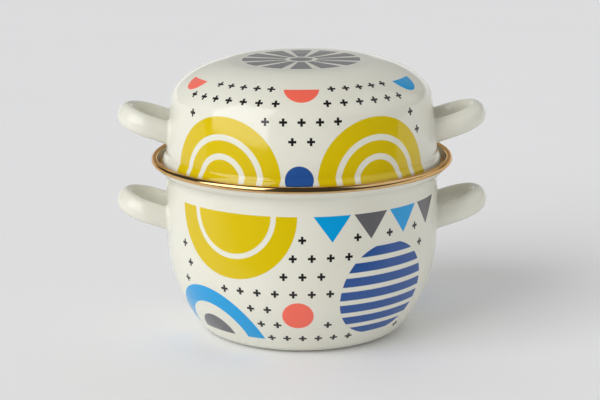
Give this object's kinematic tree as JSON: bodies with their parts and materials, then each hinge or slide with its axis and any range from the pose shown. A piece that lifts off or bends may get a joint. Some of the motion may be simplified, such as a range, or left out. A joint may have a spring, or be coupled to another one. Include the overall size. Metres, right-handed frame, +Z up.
{
  "type": "mussel pot",
  "caption": "Round-bellied enamelled cooking pot with a deep lift-off domed lid, loop handles on pot and lid and gold-toned metal rims, for steaming and serving mussels.",
  "frame": {"origin": "on the table plane, at the middle of the base", "axes": "+Z up along the pot's axis, +X through the handles, -Y towards the viewer in front"},
  "size_m": [0.249, 0.2008, 0.1813],
  "materials": {
    "decorated_enamel": "glossy cream vitreous enamel with a printed pattern",
    "cream_enamel": "glossy cream vitreous enamel",
    "gold_trim": "polished gold-toned metal"
  },
  "bodies": {
    "pot": {"pot_body": "decorated_enamel", "pot_rim": "gold_trim", "pot_handle_right": "cream_enamel", "pot_handle_left": "cream_enamel"},
    "lid": {"lid_bowl": "decorated_enamel", "lid_rim": "gold_trim", "lid_handle_right": "cream_enamel", "lid_handle_left": "cream_enamel"}
  },
  "joints": [
    {"name": "lid_lift", "type": "slide", "parent": "pot", "child": "lid", "axis": [0, 0, 1], "range_m": [0, 0.16]}
  ]
}
